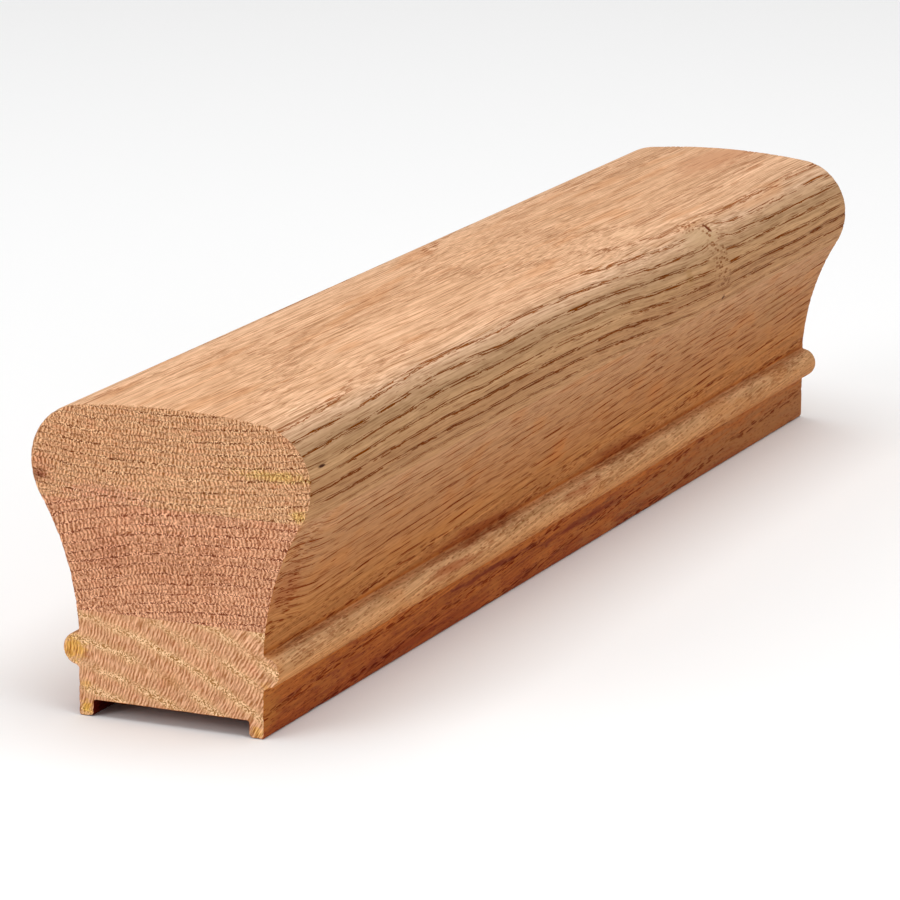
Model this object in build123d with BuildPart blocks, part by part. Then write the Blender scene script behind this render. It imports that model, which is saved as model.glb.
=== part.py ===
from build123d import *
import os
from math import sqrt

os.makedirs("parts", exist_ok=True)

# Wooden handrail: a length of moulded oak rail, glued up from three flat boards.
# Millimetres. The rail lies along Y, Z is up, and Z = 0 is the underside of its two lips.
# The section is symmetric about X = 0, and the two sawn ends are square to Y.

# Overall size of the rail
RAIL_LENGTH = 280.0
RAIL_WIDTH = 57.15
RAIL_HEIGHT = 60.325

# Thickness of the two lower boards; the top board makes up the rest of the height
BOTTOM_BOARD_THICKNESS = 20.2
MIDDLE_BOARD_THICKNESS = 21.0

# Shallow plow under the base that takes the baluster tops, and the lips beside it
PLOW_WIDTH = 31.75
PLOW_DEPTH = 3.175
LIP_WIDTH = 3.175
PLOW_CORNER_RADIUS = 0.4
LIP_OUTER_RADIUS = 0.5
LIP_INNER_RADIUS = 0.9

# Half-round bead along the top of the straight-sided base
BEAD_RADIUS = 3.175
BEAD_CENTRE_HEIGHT = 12.7
BEAD_LOWER_FILLET = 0.9
BEAD_UPPER_FILLET = 0.35

# Hand grip: a long cove that turns over into the belly, the shoulder and the crowned top
COVE_RADIUS = 53.0
BELLY_RADIUS = 13.3
SHOULDER_RADIUS = 11.3
CROWN_RADIUS = 158.0

# How near a corner has to be to a named place to be taken as the corner there
SNAP = 0.001

# Half widths and heights that follow from the sizes above
half_width = RAIL_WIDTH / 2
half_plow = PLOW_WIDTH / 2
half_base = half_plow + LIP_WIDTH
bead_bottom = BEAD_CENTRE_HEIGHT - BEAD_RADIUS
bead_top = BEAD_CENTRE_HEIGHT + BEAD_RADIUS
lower_glue_line = BOTTOM_BOARD_THICKNESS
upper_glue_line = lower_glue_line + MIDDLE_BOARD_THICKNESS

# The crown's circle is centred below the rail's top, and the shoulder's circle touches it from
# inside. The rail is widest level with the shoulder's centre, where the belly starts too.
crown_centre = Vector(0, RAIL_HEIGHT - CROWN_RADIUS)
shoulder_x = half_width - SHOULDER_RADIUS
shoulder_rise = sqrt((CROWN_RADIUS - SHOULDER_RADIUS) ** 2 - shoulder_x**2)
widest_height = crown_centre.Y + shoulder_rise
shoulder_centre = Vector(shoulder_x, widest_height)
belly_centre = Vector(half_width - BELLY_RADIUS, widest_height)


def outer_touch_point(start, radius, other_centre, other_radius):
    """Point where an arc from start, centred outside the rail, touches the other circle.

    The arc's centre is one radius from start and both radii from the other circle's centre,
    and the two circles touch on the line between their centres.
    """
    span = other_centre - start
    along = (span.length**2 + radius**2 - (radius + other_radius) ** 2) / (2 * span.length)
    aside = sqrt(radius**2 - along**2)
    forward = span.normalized()
    outward = Vector(forward.Y, -forward.X)
    centre = start + forward * along + outward * aside
    return centre + (other_centre - centre).normalized() * radius


# Points where one arc of the grip turns into the next
cove_start = Vector(half_base, bead_top)
belly_start = outer_touch_point(cove_start, COVE_RADIUS, belly_centre, BELLY_RADIUS)
crown_start = crown_centre + (shoulder_centre - crown_centre).normalized() * CROWN_RADIUS


# Section of the whole rail, with its right half drawn from the underside up and mirrored
with BuildSketch(Plane.XZ) as rail_section:
    with BuildLine():
        underside = Line((0, 0), (half_base, 0))
        base_side = Line(underside @ 1, (half_base, bead_bottom))
        bead = ThreePointArc(
            base_side @ 1,
            (half_base + BEAD_RADIUS, BEAD_CENTRE_HEIGHT),
            cove_start,
        )
        cove = RadiusArc(bead @ 1, belly_start, COVE_RADIUS)
        belly = TangentArc(cove @ 1, (half_width, widest_height), tangent=cove % 1)
        shoulder = TangentArc(belly @ 1, crown_start, tangent=belly % 1)
        crown = TangentArc(shoulder @ 1, (0, RAIL_HEIGHT), tangent=shoulder % 1)
        mirror(about=Plane.YZ)
    make_face()
    # The plow, cut up into the underside between the lips
    with Locations((0, PLOW_DEPTH / 2)):
        Rectangle(PLOW_WIDTH, PLOW_DEPTH, mode=Mode.SUBTRACT)

    # The cutters leave every corner of the base slightly rounded
    def corners_at(x, z):
        """The section's two corners at half width x and height z, left and right."""
        corners = rail_section.vertices()
        level = corners.filter_by_position(Axis.Y, z - SNAP, z + SNAP)
        left = level.filter_by_position(Axis.X, -x - SNAP, -x + SNAP)
        right = level.filter_by_position(Axis.X, x - SNAP, x + SNAP)
        return left + right

    fillet(corners_at(half_plow, PLOW_DEPTH), PLOW_CORNER_RADIUS)
    fillet(corners_at(half_plow, 0), LIP_INNER_RADIUS)
    fillet(corners_at(half_base, 0), LIP_OUTER_RADIUS)
    fillet(corners_at(half_base, bead_bottom), BEAD_LOWER_FILLET)
    fillet(corners_at(half_base, bead_top), BEAD_UPPER_FILLET)


def board(low, high):
    """One board of the glue-up: the rail's section between two heights, along the whole length."""
    with BuildPart() as blank:
        with BuildSketch(Plane.XZ):
            add(rail_section.sketch_local)
            with Locations((0, (low + high) / 2)):
                Rectangle(RAIL_WIDTH, high - low, mode=Mode.INTERSECT)
        extrude(amount=RAIL_LENGTH / 2, both=True)
    return blank.part


# Bottom board: base, plow, lips and bead
with BuildPart() as bottom_board:
    add(board(0, lower_glue_line))

# Middle board: the cove
with BuildPart() as middle_board:
    add(board(lower_glue_line, upper_glue_line))

# Top board: belly, shoulders and crown
with BuildPart() as top_board:
    add(board(upper_glue_line, RAIL_HEIGHT))

bottom_board.part.label = "bottom_board"
middle_board.part.label = "middle_board"
top_board.part.label = "top_board"

export_step(bottom_board.part, "parts/bottom_board.step")
export_step(middle_board.part, "parts/middle_board.step")
export_step(top_board.part, "parts/top_board.step")
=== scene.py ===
from collections import namedtuple
from math import atan2, ceil, cos, hypot, pi, radians, sin, sqrt

import bpy
import numpy as np
from mathutils import Matrix, Vector
from mathutils.geometry import delaunay_2d_cdt


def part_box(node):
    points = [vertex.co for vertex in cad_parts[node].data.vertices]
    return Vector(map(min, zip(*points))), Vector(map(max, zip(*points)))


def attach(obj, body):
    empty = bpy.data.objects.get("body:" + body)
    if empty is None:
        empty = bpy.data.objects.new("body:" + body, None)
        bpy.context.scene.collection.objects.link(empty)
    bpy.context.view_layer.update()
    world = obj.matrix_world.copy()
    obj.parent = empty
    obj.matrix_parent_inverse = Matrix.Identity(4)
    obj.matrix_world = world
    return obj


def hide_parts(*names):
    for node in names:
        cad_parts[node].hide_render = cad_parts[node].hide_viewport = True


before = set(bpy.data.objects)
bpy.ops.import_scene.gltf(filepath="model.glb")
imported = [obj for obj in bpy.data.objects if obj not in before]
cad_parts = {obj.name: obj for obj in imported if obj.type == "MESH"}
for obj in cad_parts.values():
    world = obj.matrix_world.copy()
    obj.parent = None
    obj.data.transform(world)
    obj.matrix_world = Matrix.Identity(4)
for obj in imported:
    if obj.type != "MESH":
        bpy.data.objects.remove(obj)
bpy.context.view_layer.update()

# Sizes are in millimetres, and MM turns them into the frame's metres.
MM = 0.001

# The solids
BOTTOM, MIDDLE, TOP = "bottom_board", "middle_board", "top_board"

# The rail's section, as the solids have it
PLOW_WIDTH = 31.75
PLOW_DEPTH = 3.175
LIP_WIDTH = 3.175
PLOW_EASE = 0.4
LIP_OUTER_EASE = 0.5
LIP_INNER_EASE = 0.9
BEAD_RADIUS = 3.175
BEAD_HEIGHT = 12.7
LOW_FILLET = 0.9
UP_FILLET = 0.35
COVE_RADIUS = 53.0
BELLY_RADIUS = 13.3
SHOULDER_RADIUS = 11.3
CROWN_RADIUS = 158.0

# Overall sizes and glue lines, read from the frame
top_low, top_high = [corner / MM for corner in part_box(TOP)]
middle_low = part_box(MIDDLE)[0] / MM
HALF_WIDTH = top_high.x
HALF_LENGTH = top_high.y
RAIL_HEIGHT = top_high.z
LOWER_GLUE = middle_low.z
UPPER_GLUE = top_low.z

# Fineness of the meshes: round the section, along the rail, over the sawn ends, on glue faces
ROUND_STEP = 0.245
ARC_STEP = radians(25)
ALONG_STEP = 1.8
STATION_SAMPLES = 4000
END_STEP = 0.3
END_ROW_STEP = END_STEP * sqrt(0.75)
END_CLEARANCE = 0.6 * END_STEP
GLUE_STEP = 0.8

# The shortest length that counts, and the least distance between points of a sawn end
TINY = 1e-9
NEAREST = 1e-7

# Nicks in the sawn edges: their depth, their length in points, and how rough an edge is where they
# start and, beyond that, where they are full
CHIP_DEPTH = 0.25
CHIP_SPAN = 9
CHIP_START = 0.6
CHIP_FULL = 1.6

# Rings of points at a sawn edge: how far from the end, and how far easing and a full nick draw them in
EdgeRing = namedtuple("EdgeRing", "from_end eased chipped")
EDGE_RINGS = (
    EdgeRing(0.0, 0.14, CHIP_DEPTH),
    EdgeRing(0.1, 0.05, CHIP_DEPTH / 2),
    EdgeRing(0.26, 0.015, CHIP_DEPTH / 6),
    EdgeRing(0.6, 0.0, 0.0),
)

# The knot on the right shoulder, where the mesh is finer along the rail
KNOT = (23.35, 67.8, 57.45)
KNOT_REACH = 4.0
KNOT_STEP = 0.4

# The least angle that is shaded as an edge
SHARP_ANGLE = radians(35)


def arc_points(centre, radius, start, end):
    """Points along an arc between two angles in radians, without the last one."""
    turn = abs(end - start)
    count = max(ceil(turn * radius / ROUND_STEP), ceil(turn / ARC_STEP))
    angles = np.linspace(start, end, count, endpoint=False)
    return [(centre[0] + radius * cos(a), centre[1] + radius * sin(a)) for a in angles]


def line_points(start, end, step=ROUND_STEP):
    """Points along a straight line, without the last one."""
    dx, dz = end[0] - start[0], end[1] - start[1]
    count = max(1, round(hypot(dx, dz) / step))
    return [(start[0] + k / count * dx, start[1] + k / count * dz) for k in range(count)]


half_plow = PLOW_WIDTH / 2
half_base = half_plow + LIP_WIDTH
bead_top = BEAD_HEIGHT + BEAD_RADIUS

# The shoulder's circle touches the crown's from inside, and the belly is centred level with it
shoulder_x = HALF_WIDTH - SHOULDER_RADIUS
crown_centre = (0.0, RAIL_HEIGHT - CROWN_RADIUS)
shoulder_rise = sqrt((CROWN_RADIUS - SHOULDER_RADIUS) ** 2 - shoulder_x**2)
widest_height = crown_centre[1] + shoulder_rise
belly_centre = (HALF_WIDTH - BELLY_RADIUS, widest_height)
shoulder_angle = atan2(shoulder_rise, shoulder_x)

# The cove starts at the bead's top and touches the belly's circle from outside
cove_start = Vector((half_base, bead_top))
cove_span = Vector(belly_centre) - cove_start
cove_excess = cove_span.length**2 + COVE_RADIUS**2 - (COVE_RADIUS + BELLY_RADIUS) ** 2
cove_along = cove_excess / (2 * cove_span.length)
cove_aside = sqrt(COVE_RADIUS**2 - cove_along**2)
cove_forward = cove_span.normalized()
cove_outward = Vector((cove_forward.y, -cove_forward.x))
cove_centre = cove_start + cove_forward * cove_along + cove_outward * cove_aside
belly_angle = atan2(cove_centre.y - belly_centre[1], cove_centre.x - belly_centre[0])


def cove_point(z):
    """Point of the right-hand cove at a height."""
    return cove_centre.x - sqrt(COVE_RADIUS**2 - (z - cove_centre.y) ** 2), z


def belly_point(z):
    """Point of the right-hand belly at a height."""
    return belly_centre[0] + sqrt(BELLY_RADIUS**2 - (z - widest_height) ** 2), z


def angle_from(centre, point):
    """Angle of a point seen from a centre, from 0 to 2 pi."""
    return atan2(point[1] - centre[1], point[0] - centre[0]) % (2 * pi)


def cove_points(start, end):
    """Points along the cove between two of its points, without the last one."""
    angles = [angle_from(cove_centre, point) for point in (start, end)]
    return arc_points(cove_centre, COVE_RADIUS, *angles)


def bead_fillet(radius, side):
    """Centre of the small fillet below the bead (side -1) or above it (1)."""
    rise = sqrt((BEAD_RADIUS + radius) ** 2 - radius**2)
    return half_base + radius, BEAD_HEIGHT + side * rise


def bottom_outline():
    """Right half of the bottom board: plow, lip, base, bead and the cove's foot."""
    plow_corner = (half_plow - PLOW_EASE, PLOW_DEPTH - PLOW_EASE)
    inner_ease = (half_plow + LIP_INNER_EASE, LIP_INNER_EASE)
    outer_ease = (half_base - LIP_OUTER_EASE, LIP_OUTER_EASE)
    bead_centre = (half_base, BEAD_HEIGHT)
    low_fillet = bead_fillet(LOW_FILLET, -1)
    up_fillet = bead_fillet(UP_FILLET, 1)
    low_angle = atan2(low_fillet[1] - BEAD_HEIGHT, LOW_FILLET)
    up_angle = atan2(up_fillet[1] - BEAD_HEIGHT, UP_FILLET)
    foot = cove_point(up_fillet[1])
    head = cove_point(LOWER_GLUE)
    points = line_points((0, PLOW_DEPTH), (plow_corner[0], PLOW_DEPTH))
    points += arc_points(plow_corner, PLOW_EASE, pi / 2, 0)
    points += line_points((half_plow, plow_corner[1]), (half_plow, inner_ease[1]))
    points += arc_points(inner_ease, LIP_INNER_EASE, pi, 1.5 * pi)
    points += line_points((inner_ease[0], 0), (outer_ease[0], 0))
    points += arc_points(outer_ease, LIP_OUTER_EASE, -pi / 2, 0)
    points += line_points((half_base, outer_ease[1]), (half_base, low_fillet[1]))
    points += arc_points(low_fillet, LOW_FILLET, pi, pi + low_angle)
    points += arc_points(bead_centre, BEAD_RADIUS, low_angle, up_angle)
    points += arc_points(up_fillet, UP_FILLET, pi + up_angle, pi)
    points += cove_points(foot, head)
    points += line_points(head, (0, LOWER_GLUE), GLUE_STEP)
    return points + [(0, LOWER_GLUE)]


def middle_outline():
    """Right half of the middle board: glue face, cove, the belly's foot and glue face."""
    foot = cove_point(LOWER_GLUE)
    head = belly_point(UPPER_GLUE)
    turn = (
        belly_centre[0] + BELLY_RADIUS * cos(belly_angle),
        belly_centre[1] + BELLY_RADIUS * sin(belly_angle),
    )
    head_angle = atan2(head[1] - belly_centre[1], head[0] - belly_centre[0])
    points = line_points((0, LOWER_GLUE), foot, GLUE_STEP)
    points += cove_points(foot, turn)
    points += arc_points(belly_centre, BELLY_RADIUS, belly_angle, head_angle)
    points += line_points(head, (0, UPPER_GLUE), GLUE_STEP)
    return points + [(0, UPPER_GLUE)]


def top_outline():
    """Right half of the top board: glue face, belly, shoulder and crown."""
    foot = belly_point(UPPER_GLUE)
    foot_angle = atan2(foot[1] - belly_centre[1], foot[0] - belly_centre[0])
    points = line_points((0, UPPER_GLUE), foot, GLUE_STEP)
    points += arc_points(belly_centre, BELLY_RADIUS, foot_angle, 0)
    points += arc_points((shoulder_x, widest_height), SHOULDER_RADIUS, 0, shoulder_angle)
    points += arc_points(crown_centre, CROWN_RADIUS, shoulder_angle, pi / 2)
    return points + [(0, RAIL_HEIGHT)]


def whole_outline(right_half):
    """Closed outline, anticlockwise seen from the near end, from its right half."""
    right = np.array(right_half)
    left = right[-2:0:-1] * (-1, 1)
    return np.vstack([right, left])


# The boards' meshes, with one material slot for the long faces and one for the sawn ends
LONG_GRAIN, SAWN_END = 0, 1


def glued_edges(outline):
    """For each edge of the outline, whether it lies on a glue line."""
    heights = outline[:, 1]
    glued = np.zeros(len(outline), bool)
    for line in (LOWER_GLUE, UPPER_GLUE):
        on_line = np.isclose(heights, line)
        glued |= on_line & np.roll(on_line, -1)
    return glued


def inward_directions(outline, glued):
    """Unit directions into the wood at the outline's points, zero on the glue faces."""
    edges = np.roll(outline, -1, axis=0) - outline
    inward = np.column_stack([-edges[:, 1], edges[:, 0]])
    inward /= np.linalg.norm(inward, axis=1)[:, None]
    inward[glued] = 0
    total = inward + np.roll(inward, 1, axis=0)
    length = np.linalg.norm(total, axis=1)
    return total / np.maximum(length, TINY)[:, None]


def stations(with_knot):
    """Places of the mesh's rings along the rail: close at the knot, and closer at the ends."""
    reach = HALF_LENGTH - EDGE_RINGS[-1].from_end
    fine = np.linspace(-reach, reach, STATION_SAMPLES)
    near_knot = with_knot & (abs(fine - KNOT[1]) < KNOT_REACH)
    rings = np.cumsum(np.where(near_knot, 1 / KNOT_STEP, 1 / ALONG_STEP)) * (fine[1] - fine[0])
    inner = np.interp(np.linspace(rings[0], rings[-1], round(rings[-1])), rings, fine)
    ends = np.array([HALF_LENGTH - ring.from_end for ring in EDGE_RINGS[:-1]])
    return np.concatenate([-ends, inner, ends[::-1]])


def drawn_in(places, chips):
    """How far each point of the rings is drawn into the wood by the eased, chipped sawn edges."""
    from_end = HALF_LENGTH - abs(places)
    ring_at, eased, chipped = zip(*EDGE_RINGS)
    ease = np.interp(from_end, ring_at, eased)
    nick = np.interp(from_end, ring_at, chipped)
    near = np.outer(np.where(places < 0, nick, 0), chips[0])
    far = np.outer(np.where(places > 0, nick, 0), chips[1])
    return ease[:, None] + near + far


def chips_along(count, rng):
    """Where an edge is chipped, from 0 to 1: a few short nicks on an otherwise clean edge."""
    rough = rng.normal(size=count)
    kernel = np.hanning(CHIP_SPAN)
    kernel /= np.sqrt((kernel**2).sum())
    looped = np.concatenate([rough, rough[: CHIP_SPAN - 1]])
    smooth = np.convolve(looped, kernel, "valid")
    return np.clip(smooth - CHIP_START, 0, CHIP_FULL) / CHIP_FULL


def inside(points, outline):
    """Whether each point lies inside the closed outline."""
    after = np.roll(outline, -1, axis=0)
    within = np.zeros(len(points), bool)
    for (x0, z0), (x1, z1) in zip(outline, after):
        if z0 == z1:
            continue
        crosses = (points[:, 1] < z0) != (points[:, 1] < z1)
        reach = x0 + (points[:, 1] - z0) / (z1 - z0) * (x1 - x0)
        within ^= crosses & (points[:, 0] < reach)
    return within


def end_points(outline):
    """Points over a sawn end in staggered rows, clear of its outline."""
    low, high = outline.min(0), outline.max(0)
    row_count = round((high[1] - low[1]) / END_ROW_STEP)
    rows = np.linspace(low[1], high[1], row_count + 1)[1:-1]
    columns = np.arange(low[0], high[0], END_STEP)
    grid = [
        np.column_stack([columns + END_STEP / 2 * (k % 2), np.full(len(columns), z)])
        for k, z in enumerate(rows)
    ]
    points = np.vstack(grid)
    points = points[inside(points, outline)]
    gap = np.array([np.hypot(*(outline - point).T).min() for point in points])
    return points[gap > END_CLEARANCE]


def end_triangles(outline, points):
    """Triangles over a sawn end: numbers below len(outline) are its outline's points."""
    count = len(outline)
    corners = np.vstack([outline, points])
    rim = [(k, (k + 1) % count) for k in range(count)]
    result = delaunay_2d_cdt([Vector(corner) for corner in corners], rim, [], 0, NEAREST, True)
    faces, origins = result[2], result[3]
    first = [origin[0] for origin in origins]
    triangles = np.array([[first[corner] for corner in face] for face in faces])
    return triangles[inside(corners[triangles].mean(axis=1), outline)]


# UV layout: the long surface unrolled, its hidden glue faces narrowed, and the sawn ends above it
BODY_SHARE = 0.7
UV_MARGIN = 0.01
GLUE_UV_SCALE = 0.1

Rings = namedtuple("Rings", "outline glued inward places rows")


def rings_of(outline, with_knot, rng):
    """The rings of points along a board, with what they are made from."""
    glued = glued_edges(outline)
    inward = inward_directions(outline, glued)
    places = stations(with_knot)
    chips = [chips_along(len(outline), rng) for _ in range(2)]
    depth = drawn_in(places, chips)
    flat = outline[None] + inward[None] * depth[:, :, None]
    along = np.broadcast_to(places[:, None, None], flat[:, :, :1].shape)
    rows = np.concatenate([flat[:, :, :1], along, flat[:, :, 1:]], axis=2)
    return Rings(outline, glued, inward, places, rows)


def side_faces(ring_count, size):
    """Quads between neighbouring rings, facing out."""
    k, i = np.meshgrid(np.arange(ring_count - 1), np.arange(size), indexing="ij")
    after = (i + 1) % size
    corners = [k * size + i, (k + 1) * size + i, (k + 1) * size + after, k * size + after]
    return np.stack(corners, axis=-1).reshape(-1, 4)


def side_uvs(rings):
    """UV coordinates of the side quads' corners, unrolled round the section."""
    edges = np.roll(rings.outline, -1, axis=0) - rings.outline
    widths = np.hypot(*edges.T) * np.where(rings.glued, GLUE_UV_SCALE, 1)
    v = np.concatenate([[0], np.cumsum(widths)])
    v = UV_MARGIN + v / v[-1] * (BODY_SHARE - 2 * UV_MARGIN)
    u = UV_MARGIN + (rings.places + HALF_LENGTH) / (2 * HALF_LENGTH) * (1 - 2 * UV_MARGIN)
    k, i = np.meshgrid(np.arange(len(u) - 1), np.arange(len(v) - 1), indexing="ij")
    corners = [(u[k], v[i]), (u[k + 1], v[i]), (u[k + 1], v[i + 1]), (u[k], v[i + 1])]
    return np.stack([np.stack(corner, axis=-1) for corner in corners], axis=2).reshape(-1, 2)


def end_uvs(flat, place):
    """UV coordinates of a sawn end's points, in the first or second box above the long surface."""
    low, high = flat.min(0), flat.max(0)
    share = (flat - low) / (high - low)
    box = np.array([0.5 - 2 * UV_MARGIN, 1 - BODY_SHARE - 2 * UV_MARGIN])
    return np.array([place * 0.5 + UV_MARGIN, BODY_SHARE + UV_MARGIN]) + share * box


def inward_of(rings, inner_count):
    """Direction into the wood at each vertex of a board: its rings', then those inside its ends."""
    size = len(rings.outline)
    inward = np.tile(np.insert(rings.inward, 1, 0, axis=1), (len(rings.places), 1))
    inward[:size, 1] = 1
    inward[-size:, 1] = -1
    in_ends = np.repeat([[0, 1, 0], [0, -1, 0]], inner_count, axis=0)
    inward = np.vstack([inward, in_ends])
    return inward / np.maximum(np.linalg.norm(inward, axis=1), TINY)[:, None]


def board_mesh(name, outline, with_knot, seed):
    """A board as one closed mesh with its UV layout, and as "inward" the way that relief is cut."""
    rings = rings_of(outline, with_knot, np.random.default_rng(seed))
    size, ring_count = len(outline), len(rings.places)
    points = end_points(outline)
    triangles = end_triangles(outline, points)
    side_total = ring_count * size
    rim, inner = np.arange(size), side_total + np.arange(len(points))
    near_number = np.concatenate([rim, inner])
    far_number = np.concatenate([rim + side_total - size, inner + len(points)])
    near_points = np.insert(points, 1, -HALF_LENGTH, axis=1)
    far_points = np.insert(points, 1, HALF_LENGTH, axis=1)
    vertices = np.vstack([rings.rows.reshape(-1, 3), near_points, far_points])
    quads = side_faces(ring_count, size)
    end_faces = np.vstack([near_number[triangles], far_number[triangles[:, ::-1]]])

    mesh = bpy.data.meshes.new(name)
    mesh.from_pydata(vertices * MM, [], quads.tolist() + end_faces.tolist())
    inward = inward_of(rings, len(points))
    mesh.attributes.new("inward", "FLOAT_VECTOR", "POINT").data.foreach_set("vector", inward.ravel())
    near_flat = np.vstack([rings.rows[0][:, ::2], points])
    far_flat = np.vstack([rings.rows[-1][:, ::2], points])
    uvs = np.vstack([
        side_uvs(rings),
        end_uvs(near_flat, 0)[triangles].reshape(-1, 2),
        end_uvs(far_flat, 1)[triangles[:, ::-1]].reshape(-1, 2),
    ])
    mesh.uv_layers.new(name="OFBake").data.foreach_set("uv", uvs.ravel())
    material_index = np.repeat([LONG_GRAIN, SAWN_END], [len(quads), len(end_faces)])
    mesh.materials.append(None)
    mesh.materials.append(None)
    mesh.polygons.foreach_set("material_index", material_index)
    return mesh


# How much faster than its red a colour's green and blue fall as wood darkens
WARM_GREEN = 1.2
WARM_BLUE = 1.5

# How far one step of a seed moves a pattern, across, along and up
SEED_STEP = (1.0, 1.7, 2.3)


def sum_method(operation):
    """A method that works out a number from its field and other values."""
    return lambda field, *others: field.made("ShaderNodeMath", (field, *others), operation)


def point_method(operation, output=0):
    """A method that works out a point or colour from its field and other values."""
    kind = "ShaderNodeVectorMath"
    return lambda field, *others: field.made(kind, (field, *others), operation, output)


class Field:
    """A number, point or colour that a node tree works out at each place on a surface."""

    def __init__(self, tree, socket):
        self.tree = tree
        self.socket = socket

    def made(self, kind, values, operation=None, output=0, **settings):
        """A new node of this kind whose inputs are the values, as a field."""
        node = self.tree.nodes.new(kind)
        if operation:
            node.operation = operation
        for setting, value in settings.items():
            setattr(node, setting, value)
        for place, value in values.items() if isinstance(values, dict) else enumerate(values):
            socket = node.inputs[place]
            if isinstance(value, Field):
                self.tree.links.new(value.socket, socket)
            else:
                socket.default_value = value
        return Field(self.tree, node.outputs[output])

    # Sums with numbers
    __add__ = __radd__ = sum_method("ADD")
    __sub__ = sum_method("SUBTRACT")
    __mul__ = __rmul__ = sum_method("MULTIPLY")
    __truediv__ = sum_method("DIVIDE")
    max = sum_method("MAXIMUM")
    angle_to = sum_method("ARCTAN2")
    root = sum_method("SQRT")
    fract = sum_method("FRACT")
    floor = sum_method("FLOOR")
    abs = sum_method("ABSOLUTE")

    # A point moved, its way from another, its length, and a point or colour divided or multiplied
    moved = point_method("ADD")
    away = point_method("SUBTRACT")
    length = point_method("LENGTH", "Value")
    shrunk = point_method("DIVIDE")
    tinted = point_method("MULTIPLY")

    def __rsub__(self, other):
        return self.made("ShaderNodeMath", (other, self), "SUBTRACT")

    def rising(self, low, high):
        """0 below low, 1 above high, and smooth between them."""
        limits = {0: self, 1: low, 2: high}
        return self.made("ShaderNodeMapRange", limits, interpolation_type="SMOOTHSTEP")

    def falling(self, low, high):
        """1 below low, 0 above high, and smooth between them."""
        return 1 - self.rising(low, high)

    def parts(self):
        """The three parts of a point."""
        node = self.made("ShaderNodeSeparateXYZ", (self,)).socket.node
        return [Field(self.tree, output) for output in node.outputs]

    def point(self, *parts):
        """A point from three parts."""
        return self.made("ShaderNodeCombineXYZ", parts)

    def far_from(self, place, size):
        """Distance from a place, in units of size along each axis."""
        return self.away(place).shrunk(size).length()

    def seeded(self, size, seed):
        """The point in units of size, moved to the seed's own part of a pattern."""
        return self.moved([seed * part for part in SEED_STEP]).shrunk(size)

    def noise(self, size, detail=1.0, roughness=0.5, seed=0.0):
        """Noise from 0 to 1 that repeats about once in size along each axis."""
        shape = {"Scale": 1.0, "Detail": detail, "Roughness": roughness}
        return self.made("ShaderNodeTexNoise", {"Vector": self.seeded(size, seed), **shape})

    def cells(self, size, seed=0.0):
        """Scattered cells: distance from the nearest one's middle, in units of size, and its number."""
        inputs = {"Vector": self.seeded(size, seed), "Scale": 1.0}
        distance = self.made("ShaderNodeTexVoronoi", inputs)
        number = Field(self.tree, distance.socket.node.outputs["Color"]).parts()[0]
        return distance, number

    def mixed(self, share, other):
        """This colour, turned into the other one by a share."""
        values = {"Factor": share, 6: self, 7: other}
        return self.made("ShaderNodeMix", values, output=2, data_type="RGBA")

    def lit(self, strength):
        """This colour made lighter or darker."""
        return self.made("ShaderNodeVectorMath", {0: self, "Scale": strength}, "SCALE")

    def shaded(self, light):
        """This colour in more or less light, with its darks deeper in colour and its brights paler."""
        green = light * WARM_GREEN + (1 - WARM_GREEN)
        blue = light * WARM_BLUE + (1 - WARM_BLUE)
        return self.tinted(light.point(light, green, blue))

    def ramp(self, stops):
        """Colours along this number, from (number, colour) stops between 0 and 1."""
        field = self.made("ShaderNodeValToRGB", (self,))
        elements = field.socket.node.color_ramp.elements
        for _ in stops[2:]:
            elements.new(0.5)
        for element, stop in zip(elements, stops):
            element.position = stop[0]
        for element, stop in zip(elements, stops):
            element.color = stop[1]
        return field


def srgb(red, green, blue):
    """A colour as screens show it, from 0 to 255, in the light that shaders count in."""
    seen = [part / 255 for part in (red, green, blue)]
    linear = [((v + 0.055) / 1.055) ** 2.4 if v > 0.04045 else v / 12.92 for v in seen]
    return (*linear, 1.0)


# Oak. What its functions give is a share from 0 to 1, unless they say otherwise.

# For each board: its solid and slot, its outline, the pith that its rings run round at the near end
# (across and up), the rings' spacing and shift, how far the pith rises for each millimetre along, how
# far the rings dip at the near end, the distance to the pith, the cells of its wide and fine vessels,
# its seed, and whether it holds the knot
Board = namedtuple("Board", "node slot outline pith spacing shift rise dip reach wide fine seed knot")
BOARDS = (
    Board(
        node=BOTTOM, slot="bottom_oak", outline=bottom_outline, pith=(-33, -71), spacing=4.4,
        shift=1.6, rise=0.07, dip=0.0, reach=88, wide=(0.4, 4, 0.36), fine=(0.44, 2.4, 0.4),
        seed=11, knot=False,
    ),
    Board(
        node=MIDDLE, slot="middle_oak", outline=middle_outline, pith=(20, -120), spacing=1.85,
        shift=0.0, rise=0.055, dip=2.6, reach=151, wide=(0.4, 16, 0.36), fine=(0.44, 9.6, 0.4),
        seed=23, knot=False,
    ),
    Board(
        node=TOP, slot="top_oak", outline=top_outline, pith=(-6, 240), spacing=2.4,
        shift=1.5, rise=0.0, dip=0.0, reach=189, wide=(0.3, 18, 0.27), fine=(0.44, 10.8, 0.4),
        seed=37, knot=True,
    ),
)
DIP_LENGTH = 20

# The top board's rings climb from the near end, and drop towards the knot
TOP_CLIMB = 1.6
TOP_CLIMB_LENGTH = 75
KNOT_DROP = 3.6
KNOT_DROP_SPAN = (120, 205)

# Noises in the wood: the size of a wave in millimetres, its detail and roughness, what it adds to the
# board's seed, and the values between which it is cut, if it is
Noise = namedtuple("Noise", "size detail roughness seed cut", defaults=(1.0, 0.5, 0, None))

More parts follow.
